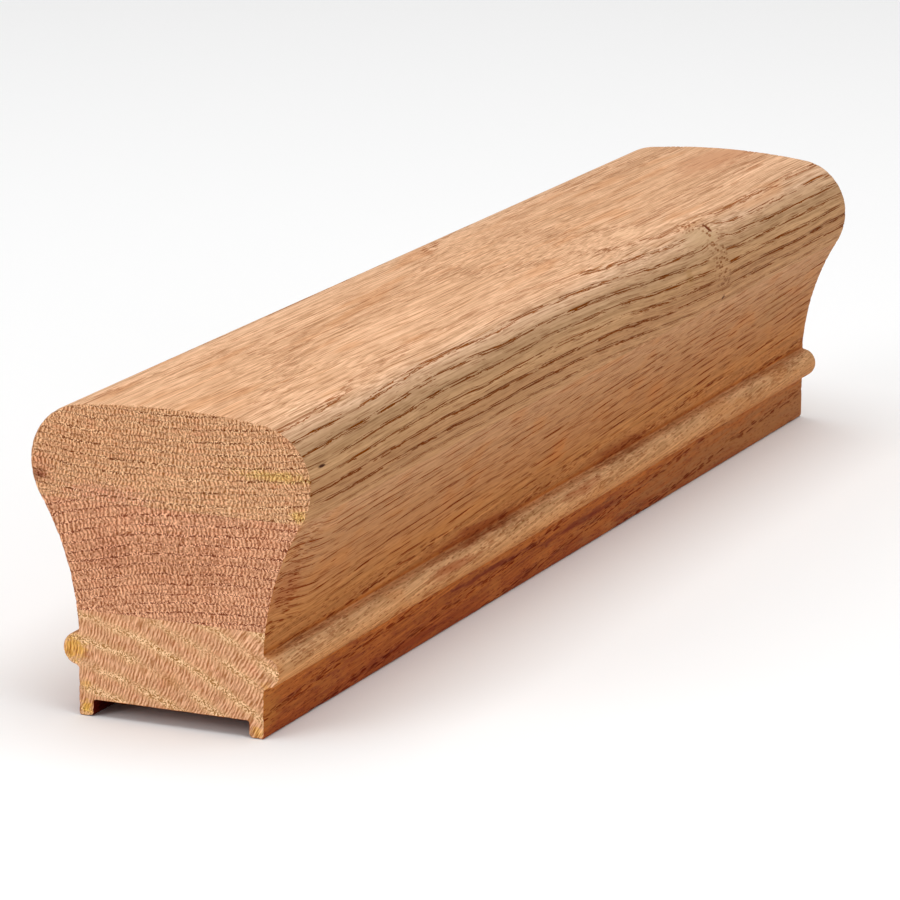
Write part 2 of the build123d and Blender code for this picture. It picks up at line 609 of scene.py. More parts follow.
# How the rings leave a circle, slowly and quickly, how the wood swings sideways, and how much
SLOW_WANDER = Noise((38, 150, 38), 0.0)
QUICK_WANDER = Noise((8, 34, 8), 2.0, 0.6, 3.1)
SWING = Noise((24, 60, 24), seed=7.7)
SLOW_SHARE = 2.2
QUICK_SHARE = 1.3
SWING_SHARE = 3.0

# How far round the knot the rings bulge, and how much
KNOT_SPREAD = (9, 13, 9)
KNOT_BULGE = 1.1

Grain = namedtuple("Grain", "place wood across along ring phase line")


def wave(point, board, noise, more=0):
    """One of the noises of a board's wood at a point."""
    field = point.noise(noise.size, noise.detail, noise.roughness, board.seed + noise.seed + more)
    return field.rising(*noise.cut) if noise.cut else field


def grain_of(place, board):
    """Where a place lies in its board's wood, and on which ring."""
    x, y, z = place.parts()
    along = y + HALF_LENGTH
    facing = 1 if board.pith[1] < 0 else -1
    lift = along * board.rise + along.falling(0, DIP_LENGTH) * board.dip
    if board.knot:
        drop = along.rising(*KNOT_DROP_SPAN) * KNOT_DROP
        lift = along.rising(0, TOP_CLIMB_LENGTH) * TOP_CLIMB - drop
    dx = x - board.pith[0]
    dz = (z - lift - board.pith[1]) * facing
    slow = wave(place, board, SLOW_WANDER) - 0.5
    quick = wave(place, board, QUICK_WANDER) - 0.5
    swing = wave(place, board, SWING) - 0.5
    radius = (dx * dx + dz * dz).root() + slow * SLOW_SHARE + quick * QUICK_SHARE
    across = dx.angle_to(dz) * board.reach + swing * SWING_SHARE
    if board.knot:
        radius = radius + place.far_from(KNOT, KNOT_SPREAD).falling(0.0, 1.0) * KNOT_BULGE
    ring = (radius + board.shift) / board.spacing
    phase = ring.fract()
    line = (0.5 - (phase - 0.5).abs()) * board.spacing
    return Grain(place, place.point(across, along, radius), across, along, ring, phase, line)


# Scattered cells: their size, the share of a cell that its vessel fills, and what they add to the
# board's seed. A vessel fades out over DASH_EDGE, and the faintest is half as dark as the darkest.
Cells = namedtuple("Cells", "size share seed")
DASH_EDGE = 0.07
FAINTEST = 0.5
WIDE_SEED = 5
WIDE_SHARE = 0.15
ROW_SHARE = 0.37
ROW_PHASES = (0.14, 0.46)
FINE_SHARE = 0.33
FINE_SEED = 9
SHORT = Cells((0.42, 4.0, 0.4), 0.4, 31)
SHORT_REACH = (8, 15)
DOTS = Cells((0.62, 1.8, 0.62), 0.44, 21)
DOT_STRENGTH = 1.9

# On the top board two thin lines of vessels follow each ring, at an offset and with a seed of their
# own. They waver, have gaps, end below the crown, and are broadest on the belly.
FIRST_LINE = (0.0, 15)
SECOND_LINE = (0.5, 17)
SECOND_STRENGTH = 0.8
LINE_WAVER = Noise((1.8, 4.5, 1.8), 4.0, 0.75)
LINE_GAPS = Noise((1.4, 8, 1.0), 2.0, seed=1, cut=(0.45, 0.51))
LINE_EDGE = (0.03, 0.125)
LINE_TOP = (58.4, 59.3)
BELLY_FOOT = (43.0, 45.0)
BELLY_HEAD = (48.5, 50.5)
BELLY_BREADTH = 0.85

# Where the vessels grow fainter, and by how much: the top board's foot and the middle board's top
FAINT_FOOT = (42.0, 45.0)
FAINT_FOOT_SHARE = 0.5
FAINT_TOP = (36.0, 40.0)
FAINT_TOP_SHARE = 0.35

# A band below the knot where vessels break up into dots, specks above it, and a calm patch
FAULT_PLACE = 64.5
FAULT_TURN = (54.5, 57.0)
FAULT_RAG = 3.0
FAULT_REACH = (2.0, 5.5)
FAULT_SIDE = (12.0, 16.0)
FAULT_FOOT = (44.0, 47.0)
FAULT_HEAD = (57.8, 59.0)
SPECKS_PLACE = (21.4, 61.5, 58.6)
SPECKS_SIZE = (2.0, 8.0, 1.6)
SPECKS_FADE = (0.6, 1.0)
CALM_PLACE = (24.4, 62.0, 56.8)
CALM_SIZE = (3.0, 11.0, 2.4)
CALM_FADE = (0.5, 1.0)


def dashes(grain, board, cells):
    """Open vessels cut along the grain."""
    distance, number = grain.wood.cells(cells.size, board.seed + cells.seed)
    return distance.falling(cells.share - DASH_EDGE, cells.share) * (number * (1 - FAINTEST) + FAINTEST)


def vessels_of(grain, board):
    """The wide vessels that start each ring, and the fine ones between them."""
    height = grain.place.parts()[2]
    row = grain.phase.falling(*ROW_PHASES)
    wide = dashes(grain, board, Cells(board.wide, row * ROW_SHARE + WIDE_SHARE, WIDE_SEED))
    fine = dashes(grain, board, Cells(board.fine, FINE_SHARE, FINE_SEED))
    if board.knot:
        second = long_line(grain, board, *SECOND_LINE) * SECOND_STRENGTH
        lines = long_line(grain, board, *FIRST_LINE).max(second)
        wide = wide.max(lines * height.falling(*LINE_TOP))
        fault, calm = fault_of(grain.place)
        wide = wide * (1 - fault.max(calm))
        fine = (fine * (1 - calm)).max(dashes(grain, board, DOTS) * fault * DOT_STRENGTH)
        wide = wide * (1 - height.falling(*FAINT_FOOT) * FAINT_FOOT_SHARE)
    if board.node == MIDDLE:
        short = dashes(grain, board, SHORT) * grain.along.falling(*SHORT_REACH)
        wide = wide.max(short) * (1 - height.rising(*FAINT_TOP) * FAINT_TOP_SHARE)
    return wide, fine


def long_line(grain, board, offset, seed):
    """A thin wavering line that follows each ring at an offset, with gaps."""
    waver = wave(grain.wood, board, LINE_WAVER, seed) - 0.5
    gaps = wave(grain.wood, board, LINE_GAPS, seed)
    height = grain.place.parts()[2]
    breadth = height.rising(*BELLY_FOOT) * height.falling(*BELLY_HEAD) * BELLY_BREADTH + 1
    off_line = (grain.phase * board.spacing - offset + waver).abs() / breadth
    return off_line.falling(*LINE_EDGE) * gaps


def fault_of(place):
    """The band under the knot and the calm patch beside it."""
    x, y, height = place.parts()
    middle = height.rising(*FAULT_TURN) * (KNOT[1] - FAULT_PLACE) + FAULT_PLACE
    ragged = (place.noise((FAULT_RAG, FAULT_RAG, FAULT_RAG)) - 0.5) * FAULT_RAG
    near = (y - middle + ragged).abs().falling(*FAULT_REACH)
    above = place.far_from(SPECKS_PLACE, SPECKS_SIZE).falling(*SPECKS_FADE)
    band = near * x.rising(*FAULT_SIDE) * height.rising(*FAULT_FOOT) * height.falling(*FAULT_HEAD)
    calm = place.far_from(CALM_PLACE, CALM_SIZE).falling(*CALM_FADE)
    return band.max(above), calm


# For each board's sawn end: the columns' length and pitch, how far they sway, how clear they are at
# least, the dotted bands' half width, the share of a band halfway between two rings, and the
# strength of a band's pale halo and of the thin dark line along each ring
SawnLook = namedtuple("SawnLook", "column pitch sway order band between halo line")
SAWN_LOOKS = {
    BOTTOM: SawnLook(2.0, 0.7, 1.0, 0.25, 1.1, 0.0, 0.4, 0.15),
    MIDDLE: SawnLook(0.44, 0.84, 1.4, 0.34, 0.5, 0.3, 0.0, 0.95),
    TOP: SawnLook(0.52, 0.78, 1.2, 0.34, 0.5, 0.6, 0.15, 1.0),
}

# Columns on a sawn end: how they sway, shift from ring to ring, bend, break up and grow clearer
COLUMN_SWAY = Noise((1.3, 9, 0.9), 2.0, 0.6, 1)
COLUMN_SHIFT = 0.37
COLUMN_BEND = 0.3
STRIPE_CUT = (0.15, 0.85)
BREAK_WIDTH = 0.3
BREAK_CUT = (0.34, 0.66)
CLEARER = Noise((5, 9, 2), seed=17, cut=(0.34, 0.62))
CLEARER_SHARE = 0.45

# Dots of the bands: their grit, the pores among it, and how many of the pores show
GRIT = Noise((0.23, 9, 0.23), 0.0, seed=2, cut=(0.36, 0.6))
PORES = Cells((0.6, 9, 0.6), (0.16, 0.34), 6)
PORE_NUMBERS = (0.3, 0.5)

# The bands' ragged edge and their strength from place to place, the least of each, and the shares
# of a band's half width at which it starts to fade, halfway between rings too, and its halo ends
BAND_RAG = Noise((1.6, 9, 0.8), seed=3)
LEAST_RAG = 0.4
BAND_STRENGTH = Noise((8, 9, 4), seed=27, cut=(0.3, 0.58))
LEAST_STRENGTH = 0.3
BAND_CORE = 0.1
SIDE_CORE = 0.2
HALO_REACH = 2


def off_halfway(grain, board):
    """Distance from the middle between two rings, in millimetres."""
    return (grain.phase - 0.5).abs() * board.spacing


def columns_of(grain, board):
    """Columns of wood that stand across the rings on a sawn end."""
    look = SAWN_LOOKS[board.node]
    sway = (wave(grain.wood, board, COLUMN_SWAY) - 0.5) * look.sway
    shift = grain.ring.floor() * COLUMN_SHIFT
    off_middle = (grain.phase - 0.5) * 2
    bend = off_middle * off_middle * COLUMN_BEND
    turn = ((grain.across + sway + shift + bend) / look.pitch).fract()
    stripe = ((turn - 0.5).abs() * 2).rising(*STRIPE_CUT)
    broken = wave(grain.wood, board, Noise((BREAK_WIDTH, 9, look.column), 0.0, cut=BREAK_CUT))
    clear = wave(grain.wood, board, CLEARER) * CLEARER_SHARE + look.order
    return broken + (stripe - broken) * clear


def bands_of(grain, board):
    """The dots of a sawn end, the dotted bands' share and their halo's."""
    look = SAWN_LOOKS[board.node]
    distance, number = grain.wood.cells(PORES.size, board.seed + PORES.seed)
    pores = distance.falling(*PORES.share) * number.rising(*PORE_NUMBERS)
    dots = wave(grain.wood, board, GRIT) * (1 - pores)
    ragged = (wave(grain.wood, board, BAND_RAG) - 0.5) * (look.band + LEAST_RAG)
    uneven = wave(grain.wood, board, BAND_STRENGTH) * (1 - LEAST_STRENGTH) + LEAST_STRENGTH
    band = (grain.line + ragged).falling(BAND_CORE * look.band, look.band) * uneven
    if look.between:
        halfway = (off_halfway(grain, board) + ragged).falling(SIDE_CORE * look.band, look.band)
        band = band.max(halfway * look.between)
    halo = (grain.line + ragged).falling(SIDE_CORE * look.band, HALO_REACH * look.band) * uneven
    return dots, band, halo


# Relief in millimetres: vessels and streaks on the long faces, lines and waves on the sawn ends, the
# seams between boards, and the crack in the knot
VESSEL_DEPTH = 0.11
STREAK_DEPTH = 0.03
END_LINE_DEPTH = 0.08
END_LINE_EDGE = (0.1, 0.5)
END_WAVE_DEPTH = 0.04
SEAM_DEPTH = 0.04
SEAM_EDGE = (0.05, 0.3)
CRACK_DEPTH = 0.22
RELIEF_STREAK = Noise((1.5, 60, 1.5))
END_WAVE = Noise((1.1, 9, 1.1), seed=4)
END_FACING = (0.5, 0.9)

# The crack: its size, its lean along the rail for each millimetre up, and its ragged edge
CRACK_SIZE = (1.55, 0.85, 1.55)
CRACK_LEAN = 0.25
CRACK_RAG = 0.25
CRACK_RAG_SIZE = (0.9, 0.9, 0.9)
CRACK_EDGE = (0.65, 1.0)


def seam_of(place):
    """The hairline where two boards meet."""
    height = place.parts()[2]
    low, high = [(height - line).abs().falling(*SEAM_EDGE) for line in (LOWER_GLUE, UPPER_GLUE)]
    return low.max(high)


def crack_of(place):
    """The dark check in the middle of the knot."""
    x, y, z = place.parts()
    leaning = place.point(x, y - (z - KNOT[2]) * CRACK_LEAN, z)
    ragged = (place.noise(CRACK_RAG_SIZE) - 0.5) * CRACK_RAG
    return (leaning.far_from(KNOT, CRACK_SIZE) + ragged).falling(*CRACK_EDGE)


def relief_of(place, on_end, board):
    """How deep the surface is cut at a place, in millimetres, where on_end is 1 on the sawn ends."""
    grain = grain_of(place, board)
    vessels, _ = vessels_of(grain, board)
    streak = wave(place, board, RELIEF_STREAK)
    seam = seam_of(place)
    long_depth = vessels * VESSEL_DEPTH + streak * STREAK_DEPTH + seam * SEAM_DEPTH
    if board.knot:
        long_depth = long_depth + crack_of(place) * CRACK_DEPTH
    lines = grain.line.falling(*END_LINE_EDGE)
    waves = wave(grain.wood, board, END_WAVE)
    end_depth = lines * END_LINE_DEPTH + waves * END_WAVE_DEPTH + seam * SEAM_DEPTH
    return long_depth + on_end * (end_depth - long_depth)


def cut_relief(piece, board):
    """Cuts the wood's relief into the piece's mesh, inwards only."""
    tree = bpy.data.node_groups.new(board.node + "_relief", "GeometryNodeTree")
    for way in ("INPUT", "OUTPUT"):
        tree.interface.new_socket("Geometry", in_out=way, socket_type="NodeSocketGeometry")
    shape = Field(tree, tree.nodes.new("NodeGroupInput").outputs[0])
    metres = Field(tree, tree.nodes.new("GeometryNodeInputPosition").outputs[0])
    attribute = {"Name": "inward"}
    kind = "GeometryNodeInputNamedAttribute"
    inward = shape.made(kind, attribute, output="Attribute", data_type="FLOAT_VECTOR")
    on_end = inward.parts()[1].abs().rising(*END_FACING)
    depth = relief_of(metres.shrunk((MM, MM, MM)), on_end, board) * MM
    cut = shape.made("GeometryNodeSetPosition", {"Geometry": shape, "Offset": inward.lit(depth)})
    tree.links.new(cut.socket, tree.nodes.new("NodeGroupOutput").inputs[0])

    modifier = piece.modifiers.new("relief", "NODES")
    modifier.node_group = tree
    evaluated = piece.evaluated_get(bpy.context.evaluated_depsgraph_get())
    mesh = bpy.data.meshes.new_from_object(evaluated)
    piece.modifiers.clear()
    plain = piece.data
    piece.data = mesh
    bpy.data.meshes.remove(plain)
    mesh.attributes.remove(mesh.attributes["inward"])
    mesh.name = piece.name


# Colours of the long faces as screens show them, from 0 to 255, each after its height in millimetres.
# Besides the wood's colour they hold painted light and shade: the crown is painted lighter where it
# faces the light above, and the side grows darker towards the base, where the deeper red is partly the
# wood's own and partly painted shade. The stop at 16.4 is a dark band of painted shade in the crease
# above the bead.
LONG_COLOURS_AND_SHADE = {
    BOTTOM: (
        (0.0, 147, 69, 29), (9.0, 181, 103, 43), (10.5, 196, 131, 73), (15.4, 201, 154, 109),
        (16.4, 161, 87, 29), (17.4, 177, 114, 61), (20.2, 179, 116, 62),
    ),
    MIDDLE: (
        (20.2, 184, 121, 65), (26.0, 181, 122, 73), (36.0, 187, 135, 90), (41.2, 194, 144, 101),
    ),
    TOP: (
        (41.2, 191, 143, 97), (47.0, 175, 127, 84), (50.5, 188, 144, 101), (54.0, 172, 134, 97),
        (56.0, 187, 148, 112), (57.5, 209, 169, 135), (59.4, 226, 178, 139), (60.3, 220, 171, 131),
    ),
}

# For each board's long faces: how far the colours wander up and down, how much the fibres vary the
# light, how much of the vessels' tint the fine ones take, and that tint
LongLook = namedtuple("LongLook", "wander fibre fine tint")
LONG_LOOKS = {
    BOTTOM: LongLook(0.75, 1.2, 0.65, (0.44, 0.18, 0.04)),
    MIDDLE: LongLook(0.75, 0.72, 0.65, (0.44, 0.16, 0.0)),
    TOP: LongLook(2.5, 0.85, 0.45, (0.38, 0.15, 0.0)),
}
HEIGHT_WANDER = Noise((14, 70, 14), 2.0, seed=2)

# Broad streaks, small mottles and fine fibres on the long faces. The crown's fibres are stronger.
STREAK = Noise((1.3, 80, 1.3), 3.0, 0.6, 4)
STREAK_SHARE = 0.4
MOTTLE = Noise((0.7, 3.0, 0.7), seed=16)
MOTTLE_SHARE = 0.25
FIBRE = Noise((0.3, 60, 0.3), 1.0, 0.7, 6)
CROWN_FIBRE_SHARE = 0.5
CROWN_FIBRE_FOOT = (55.5, 58.5)

# Stains: flecks on the crown, orange patches on the lower boards and, on the base, dark red streaks,
# and on the sawn ends a blush
Stain = namedtuple("Stain", "noise colour share")
FLECKS = Stain(Noise((4.6, 34, 9), seed=12, cut=(0.56, 0.7)), (208, 144, 94), 0.4)
PATCHES = Stain(Noise((5, 14, 5), seed=12, cut=(0.55, 0.72)), (196, 122, 58), 0.3)
RED_STREAKS = Stain(Noise((1.2, 7, 0.8), 3.0, 0.65, 26, (0.5, 0.64)), (122, 46, 28), 0.45)
RED_TOP = (9.0, 10.0)
BLUSH = Stain(Noise((3, 9, 1.6), seed=19, cut=(0.5, 0.72)), (206, 128, 94), 0.22)

# The crown: where it starts, how much painted shade darkens it for each millimetre along, as the light
# falls off towards the far end, and its rays, the first of them pale lines painted as glints
CROWN_FOOT = (56.5, 58.5)
CROWN_PAINTED_FALLOFF = 0.0004
RayAndGlint = namedtuple("RayAndGlint", "cells tint share")
RAYS_AND_GLINTS = (
    # Painted glints: pale thin lines on the crown that stand in for its sparkle. Below them, the dark
    # rays.
    RayAndGlint(Cells((0.62, 30, 5), (0.12, 0.23), 18), (1.12, 1.12, 1.12), 0.7),
    RayAndGlint(Cells((0.62, 44, 5), (0.12, 0.23), 14), (0.5, 0.33, 0.12), 0.8),
)

# How much of their tint wide vessels take: on the crown, what the shoulder and belly add to it, and on
# the lower boards, less what they lose on the bead
CROWN_OPEN = 0.4
SHOULDER_OPEN = 0.65
SHOULDER_HEAD = (58.8, 59.8)
BELLY_OPEN = 0.2
LOWER_OPEN = 1.05
BEAD_FAINT = 0.55
BEAD_FOOT = (10.0, 13.0)
BEAD_HEAD = (15.8, 16.8)
# The check in the knot: the knot's own dark brown, with painted shade inside the check.
KNOT_BROWN_AND_SHADE = (112, 54, 28)

# Colours of each sawn end: its columns' gaps and crests, its dots' dark and bright, and its dark lines
END_COLOURS = {
    BOTTOM: ((172, 108, 61), (236, 184, 146), (176, 122, 66), (246, 204, 160), (176, 118, 70)),
    MIDDLE: ((148, 80, 40), (238, 181, 142), (134, 66, 36), (248, 190, 150), (116, 48, 24)),
    TOP: ((152, 90, 41), (236, 184, 142), (134, 74, 36), (248, 202, 156), (112, 52, 22)),
}
HALO_COLOUR = (218, 172, 120)

# The dark lines on a sawn end: their dots, how they waver, and their strength from place to place
LINE_DOTS = Noise((0.3, 9, 0.36), 0.0, seed=10, cut=(0.44, 0.58))
LINE_WIGGLE = Noise((0.8, 9, 2), 0.0, seed=11)
WIGGLE_SHARE = 0.45
LINE_STRENGTH = Noise((12, 60, 3), 0.0, seed=13, cut=(0.1, 0.5))
END_LINE_WIDTH = (0.06, 0.24)

# How much slow patches, and the pattern itself, vary a sawn end's light
END_PATCH = Noise((5, 20, 2.2), 2.0, seed=8)
END_PATCH_SHARE = 0.22
END_TONE_SHARE = 0.24

# Marks in the wood, and one of painted shade: the place, the size over which one fades out, its colour
# and its share. On a sawn end it tints the wood, measured against the ends' mean colour.
LONG, END = "long", "end"
MARKS_AND_SHADE = {}
MARKS_AND_SHADE[BOTTOM, LONG] = (
    ((19.5, -44, 17), (5, 30, 2.6), (138, 62, 16), 0.8),
    ((21, -62, 13.8), (4, 16, 1.4), (158, 78, 36), 0.7),
    ((19.5, 30, 17.2), (5, 24, 2.2), (140, 66, 18), 0.8),
    ((21, 4, 14.4), (4, 14, 1.2), (158, 78, 36), 0.7),
    ((19, -38, 7), (4, 32, 1), (112, 34, 16), 0.85),
    ((19, 12, 6), (4, 36, 1.1), (116, 38, 18), 0.85),
    ((19, -74, 2), (4, 30, 1.2), (130, 48, 16), 0.6),
    ((19, -140, 5.5), (5, 9, 5.5), (182, 116, 52), 0.6),
    # Painted shade: dark red on the left lip's inner face inside the plow, fading along from the near
    # end.
    ((-15.9, -140, 1.6), (3, 90, 7), (76, 12, 2), 1.0),
    ((19, 140, 4), (6, 150, 7.5), (168, 114, 66), 0.7),
)
MARKS_AND_SHADE[MIDDLE, LONG] = (
    ((18, -135, 29), (8, 11, 9), (168, 90, 44), 0.5),
    ((20, -5, 25), (8, 5, 4), (196, 118, 56), 0.5),
    ((20, 46, 26), (8, 7, 3), (196, 118, 56), 0.4),
    ((20, -62, 27), (8, 6, 5), (190, 122, 70), 0.4),
    ((20, 112, 31), (8, 13, 7), (178, 130, 82), 0.5),
)
MARKS_AND_SHADE[TOP, LONG] = (
    (CALM_PLACE, (4.4, 14, 2.8), (190, 156, 116), 0.65),
    ((27.5, 46, 51), (5, 2.8, 2), (160, 116, 66), 0.7),
    ((2, 128, 60.3), (9, 32, 3), (202, 148, 110), 0.85),
    ((14, 46, 60), (3.5, 11, 3), (236, 190, 150), 0.7),
    ((28.4, -134.5, 51.3), (2, 1.6, 0.35), (70, 36, 20), 1.0),
    ((28, 67, 42.8), (3, 1.1, 0.8), (96, 50, 28), 0.9),
)
MARKS_AND_SHADE[TOP, END] = (
    ((-26.8, -140, 45.2), (1.8, 2, 1.4), (132, 70, 44), 0.85),
    ((-26.5, -140, 46.5), (4, 3, 4), (192, 122, 88), 0.5),
    ((-13, -140, 42.6), (13, 3, 3), (206, 142, 108), 0.75),
    ((-17, -140, 53), (13, 3, 7), (202, 143, 101), 0.8),
    ((21.5, -140, 49.8), (10, 3, 1.5), (206, 161, 82), 0.6),
    ((26.2, -140, 42.8), (2.6, 3, 1.7), (208, 159, 78), 0.6),
)
MARKS_AND_SHADE[MIDDLE, END] = (
    ((-12.5, -140, 32), (5, 3, 6), (164, 96, 66), 0.35),
    ((2, -140, 31), (24, 3, 5), (194, 138, 97), 0.8),
)
MARKS_AND_SHADE[BOTTOM, END] = (
    ((-20, -140, 12.7), (3.6, 3, 3.2), (204, 146, 66), 0.9),
    ((-17.5, -140, 1.6), (1.6, 3, 1.9), (208, 152, 60), 0.8),
    ((17.6, -140, 1.2), (1.7, 3, 1.6), (216, 160, 78), 0.7),
    ((-17.6, -140, 6), (1.5, 3, 1.4), (206, 148, 70), 0.5),
    ((19.5, -140, 10), (1.4, 3, 1.4), (206, 148, 70), 0.5),
    ((0, -140, 9), (3.2, 3, 2.4), (176, 112, 62), 0.4),
)
MARK_EDGES = {LONG: Noise((0.9, 9, 0.6), 2.0, 0.6), END: Noise((0.9, 4, 0.6), 2.0, 0.6)}
MARK_RAG = 1.5
MARK_FADE = (0.2, 1.0)
END_MEAN = (204, 148, 106)

# Roughness of bare oak, how far it varies, and how much rougher vessels and sawn ends are
ROUGHNESS = 0.62
ROUGHNESS_SPREAD = 0.16
VESSEL_ROUGHNESS = 0.2
SAWN_ROUGHNESS = 0.14
OAK_IOR = 1.4
OAK_SHINE = 0.08

# Bump: its depth in millimetres, and how much the fibres and the fine vessels count in it
LONG_BUMP_DEPTH = 0.05
SAWN_BUMP_DEPTH = 0.035
FIBRE_BUMP = 0.5
FINE_BUMP = 0.4


def marked(colour, place, board, face):
    """The colour with the marks of the board's face in it, and any painted shade among them."""
    ragged = (wave(place, board, MARK_EDGES[face]) - 0.5) * MARK_RAG
    for middle, size, hue, strength in MARKS_AND_SHADE[board.node, face]:
        share = (place.far_from(middle, size) + ragged).falling(*MARK_FADE) * strength
        other = srgb(*hue)
        if face == END:
            other = colour.tinted([part / plain for part, plain in zip(other[:3], srgb(*END_MEAN))])
        colour = colour.mixed(share, other)
    return colour


def new_material(name):
    """An empty material, with its tree, its shader and the place in millimetres."""
    material = bpy.data.materials.new(name)
    material.use_nodes = True
    tree = material.node_tree
    shader = tree.nodes["Principled BSDF"]
    metres = Field(tree, tree.nodes.new("ShaderNodeTexCoord").outputs["Object"])
    return material, tree, shader, metres.shrunk((MM, MM, MM))


def finish_material(tree, shader, colour, roughness, height, depth):
    """Links the colour, roughness and bump into the shader."""
    bump = height.made("ShaderNodeBump", {"Strength": 1.0, "Distance": depth * MM, "Height": height})
    for name, field in (("Normal", bump), ("Base Color", colour), ("Roughness", roughness)):
        tree.links.new(field.socket, shader.inputs[name])
    shader.inputs["IOR"].default_value = OAK_IOR
    shader.inputs["Specular IOR Level"].default_value = OAK_SHINE


def stained(colour, place, board, stain, where=1.0):
    """The colour with a stain in it."""
    return colour.mixed(wave(place, board, stain.noise) * where * stain.share, srgb(*stain.colour))


def crown_wood(colour, grain, height, board):
    """The top board's colour, with the crown's painted shade falling off along it, flecks, dark rays
    and painted glints in it.
    """
    crown = height.rising(*CROWN_FOOT)
    # Painted shade: the crown darkens towards the far end as the light falls off.
    colour = colour.lit(1 - grain.along * crown * CROWN_PAINTED_FALLOFF)
    colour = stained(colour, grain.place, board, FLECKS, crown)
    # First the pale painted glints, then the dark rays
    for cells, tint, share in RAYS_AND_GLINTS:
        ray_and_glint = grain.wood.cells(cells.size, board.seed + cells.seed)[0].falling(*cells.share)
        colour = colour.mixed(ray_and_glint * crown * share, colour.tinted(tint))
    return colour


def lower_wood(colour, grain, height, board):
    """A lower board's colour, with orange patches and the base's red streaks in it."""
    colour = stained(colour, grain.place, board, PATCHES)
    return stained(colour, grain.place, board, RED_STREAKS, height.falling(*RED_TOP))


def open_share(height, board):
    """How much of the vessels' tint shows at a height."""
    if board.knot:
        shoulder = height.falling(*SHOULDER_HEAD) * SHOULDER_OPEN
        return CROWN_OPEN + shoulder + height.falling(*CROWN_FOOT) * BELLY_OPEN
    return LOWER_OPEN - height.rising(*BEAD_FOOT) * height.falling(*BEAD_HEAD) * BEAD_FAINT


def long_grain(board):
    """Oak along the grain: colour by height with painted light and shade in it, streaks, vessels, and
    on the top board the knot.
    """
    material, tree, shader, place = new_material(board.node + "_long_grain")
    grain = grain_of(place, board)
    vessels, fine = vessels_of(grain, board)
    look = LONG_LOOKS[board.node]
    stops = LONG_COLOURS_AND_SHADE[board.node]
    low, high = stops[0][0], stops[-1][0]
    wander = (wave(place, board, HEIGHT_WANDER) - 0.5) * look.wander
    height = place.parts()[2] + wander
    # The height ramp paints the crown lighter, the side darker towards the base, and the crease above
    # the bead darker.
    ramp = [((up - low) / (high - low), srgb(*hue)) for up, *hue in stops]
    colour = ((height - low) / (high - low)).ramp(ramp)
    streak = wave(grain.wood, board, STREAK)
    fibre = wave(grain.wood, board, FIBRE)
    mottle = wave(place, board, MOTTLE)
    fibre_share = look.fibre
    if board.knot:
        fibre_share = height.rising(*CROWN_FIBRE_FOOT) * CROWN_FIBRE_SHARE + fibre_share
    level = 1.0 - STREAK_SHARE / 2 - MOTTLE_SHARE / 2 - fibre_share * 0.5
    colour = colour.shaded(level + streak * STREAK_SHARE + mottle * MOTTLE_SHARE + fibre * fibre_share)
    colour = (crown_wood if board.knot else lower_wood)(colour, grain, height, board)
    colour = marked(colour, place, board, LONG)
    opened = (fine * look.fine).max(vessels * open_share(height, board))
    colour = colour.mixed(opened, colour.tinted(look.tint))
    if board.knot:
        # The knot's dark brown, with painted shade inside its check.
        colour = colour.mixed(crack_of(place), srgb(*KNOT_BROWN_AND_SHADE))
    roughness = ROUGHNESS + (streak - 0.5) * ROUGHNESS_SPREAD + vessels * VESSEL_ROUGHNESS
    bump = fibre * FIBRE_BUMP - vessels - fine * FINE_BUMP
    finish_material(tree, shader, colour, roughness, bump, LONG_BUMP_DEPTH)
    return material


def dark_lines(grain, board):
    """The thin dotted dark lines along the rings of a sawn end."""
    look = SAWN_LOOKS[board.node]
    wiggle = (wave(grain.wood, board, LINE_WIGGLE) - 0.5) * WIGGLE_SHARE
    on_ring = (grain.line + wiggle).abs().falling(*END_LINE_WIDTH)
    halfway = (off_halfway(grain, board) + wiggle).abs().falling(*END_LINE_WIDTH)
    strength = wave(grain.wood, board, LINE_DOTS) * wave(grain.wood, board, LINE_STRENGTH)
    return on_ring.max(halfway * look.between) * strength * look.line


def sawn_end(board):
    """Oak across the grain: columns between the rings, and a band of dotted pores on each ring."""
    material, tree, shader, place = new_material(board.node + "_sawn_end")
    grain = grain_of(place, board)
    columns = columns_of(grain, board)
    dots, band, halo = bands_of(grain, board)
    gap, crest, pore, speck, dark = [srgb(*hue) for hue in END_COLOURS[board.node]]
    colour = columns.ramp([(0.0, gap), (1.0, crest)])
    colour = stained(colour, place, board, BLUSH)
    colour = colour.mixed(halo * SAWN_LOOKS[board.node].halo, srgb(*HALO_COLOUR))
    colour = colour.mixed(band, dots.ramp([(0.0, pore), (1.0, speck)]))
    colour = colour.mixed(dark_lines(grain, board), dark)
    patch = wave(grain.wood, board, END_PATCH)
    tone = columns + (dots - columns) * band
    colour = colour.lit(1 - END_PATCH_SHARE / 2 + patch * END_PATCH_SHARE)
    colour = marked(colour, place, board, END).lit(1 - END_TONE_SHARE / 2 + tone * END_TONE_SHARE)
    roughness = ROUGHNESS + SAWN_ROUGHNESS + (tone - 0.5) * ROUGHNESS_SPREAD
    finish_material(tree, shader, colour, roughness, tone, SAWN_BUMP_DEPTH)
    return material


def new_object(name, data):
    """A new object in the scene."""
    made = bpy.data.objects.new(name, data)
    bpy.context.scene.collection.objects.link(made)
    return made


def make_board(board):
    """Makes the piece that stands for one of the solids."""
    name = board.node + "_oak"
    outline = whole_outline(board.outline())
    piece = new_object(name, board_mesh(name, outline, board.knot, board.seed))
    piece.data.materials[LONG_GRAIN] = long_grain(board)
    piece.data.materials[SAWN_END] = sawn_end(board)
    cut_relief(piece, board)
    piece.data.shade_smooth()
    piece.data.set_sharp_from_angle(angle=SHARP_ANGLE)
    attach(piece, "root")
    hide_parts(board.node)


for board in BOARDS:
    make_board(board)


# Studio: floor, lights and camera, in metres

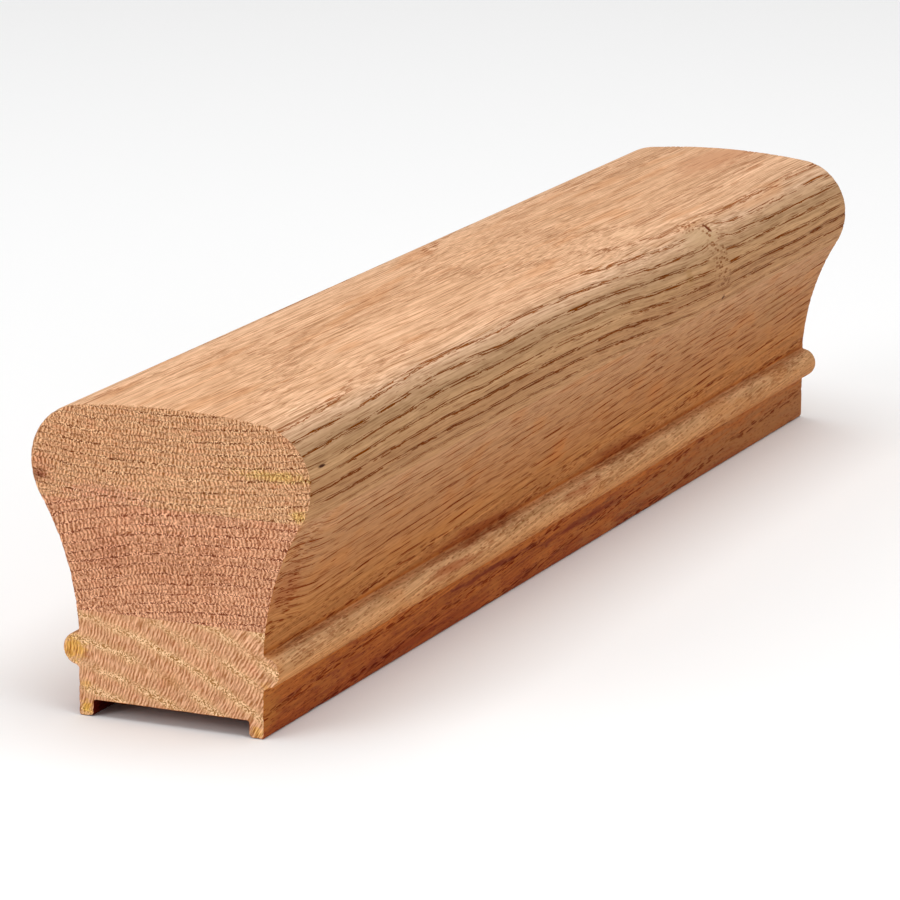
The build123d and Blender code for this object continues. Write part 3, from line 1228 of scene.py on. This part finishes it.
FLOOR_SIZE = 8.0
FLOOR_DROP = 0.00002
FLOOR_COLOUR = (0.92, 0.92, 0.92, 1.0)
FLOOR_ROUGHNESS = 0.9
FLOOR_SHINE = 0.1
WORLD_LIGHT = 0.42

Softbox = namedtuple("Softbox", "name place aim size power")
SOFTBOXES = (
    Softbox("overhead", (0.1, 0.0, 1.6), (0, 0, 0), 1.6, 20.0),
    Softbox("front", (-0.9, -1.5, 0.7), (0, -0.1, 0.03), 0.9, 9.0),
    Softbox("side", (1.5, -0.5, 0.5), (0, 0, 0.02), 1.0, 4.0),
)

CAMERA_PLACE = (0.44139, -1.00992, 0.29359)
CAMERA_YAW = radians(23.907)
CAMERA_TILT = radians(90 - 13.881)
CAMERA_ROLL = radians(0.384)
CAMERA_LENS = 220.98
SENSOR_WIDTH = 36.0


def make_floor():
    """A plain pale floor just under the rail."""
    half = FLOOR_SIZE / 2
    square = ((-half, -half), (half, -half), (half, half), (-half, half))
    corners = [(x, y, -FLOOR_DROP) for x, y in square]
    mesh = bpy.data.meshes.new("floor")
    mesh.from_pydata(corners, [], [(0, 1, 2, 3)])
    floor = new_object("floor", mesh)
    material = bpy.data.materials.new("floor")
    material.use_nodes = True
    shader = material.node_tree.nodes["Principled BSDF"]
    shader.inputs["Base Color"].default_value = FLOOR_COLOUR
    shader.inputs["Roughness"].default_value = FLOOR_ROUGHNESS
    shader.inputs["Specular IOR Level"].default_value = FLOOR_SHINE
    mesh.materials.append(material)


def make_light(box):
    """A square softbox turned to its aim."""
    light = bpy.data.lights.new(box.name, "AREA")
    light.size = box.size
    light.energy = box.power
    lamp = new_object(box.name, light)
    lamp.location = box.place
    lamp.rotation_euler = (Vector(box.aim) - Vector(box.place)).to_track_quat("-Z", "Y").to_euler()


def make_world():
    """Even white light from all round."""
    world = bpy.data.worlds.new("studio")
    world.use_nodes = True
    background = world.node_tree.nodes["Background"]
    background.inputs["Color"].default_value = (1, 1, 1, 1)
    background.inputs["Strength"].default_value = WORLD_LIGHT
    bpy.context.scene.world = world


def make_camera():
    """The photograph's camera."""
    data = bpy.data.cameras.new("camera")
    data.lens = CAMERA_LENS
    data.sensor_width = SENSOR_WIDTH
    camera = new_object("camera", data)
    camera.matrix_world = (
        Matrix.Translation(CAMERA_PLACE)
        @ Matrix.Rotation(CAMERA_YAW, 4, "Z")
        @ Matrix.Rotation(CAMERA_TILT, 4, "X")
        @ Matrix.Rotation(CAMERA_ROLL, 4, "Z")
    )
    bpy.context.scene.camera = camera


make_floor()
for box in SOFTBOXES:
    make_light(box)
make_world()
make_camera()
bpy.context.scene.view_settings.view_transform = "Standard"
